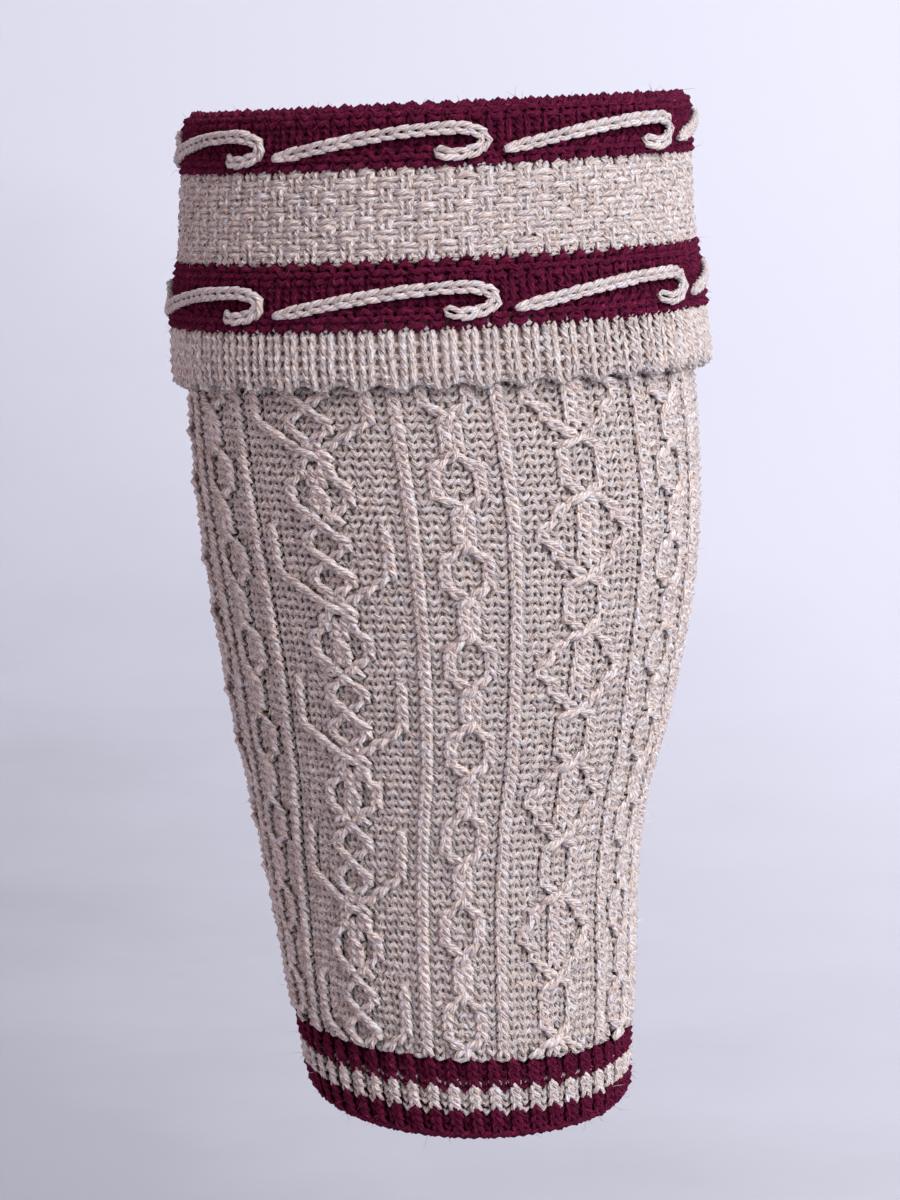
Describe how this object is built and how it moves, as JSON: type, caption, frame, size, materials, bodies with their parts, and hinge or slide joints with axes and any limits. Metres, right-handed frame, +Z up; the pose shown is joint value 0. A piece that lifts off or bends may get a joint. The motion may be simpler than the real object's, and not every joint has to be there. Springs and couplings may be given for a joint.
{
  "type": "hand-knitted calf warmer with a turned-down cuff",
  "caption": "Knitted calf warmer as worn: patterned leg tube, turned-down cuff with two dark bands and a toothed hem, ribbed striped ankle welt.",
  "frame": {"origin": "on the tube's axis at the widest girth of the calf, where the wearer's leg holds the garment", "axes": "+Z up the leg towards the cuff, front of the garment towards -Y, +X to the right of a viewer in front"},
  "size_m": [0.1368, 0.1296, 0.2559],
  "materials": {
    "heather_wool": "matte hand-knitted wool, beige with pinkish grey flecks",
    "burgundy_wool": "matte hand-knitted wool, dark wine red",
    "pale_wool": "matte chain stitch wool, pale rose grey"
  },
  "bodies": {
    "root": {"leg": "heather_wool", "cuff_band_top": "burgundy_wool", "cuff_moss": "heather_wool", "cuff_band_low": "burgundy_wool", "cuff_hem": "heather_wool", "welt_stripe_top": "burgundy_wool", "welt_stripe_mid": "heather_wool", "welt_stripe_low": "burgundy_wool", "hook_top_1": "pale_wool", "hook_top_2": "pale_wool", "hook_top_3": "pale_wool", "hook_top_4": "pale_wool", "hook_top_5": "pale_wool", "hook_top_6": "pale_wool", "hook_top_7": "pale_wool", "hook_low_1": "pale_wool", "hook_low_2": "pale_wool", "hook_low_3": "pale_wool", "hook_low_4": "pale_wool", "hook_low_5": "pale_wool", "hook_low_6": "pale_wool", "hook_low_7": "pale_wool"}
  },
  "joints": []
}
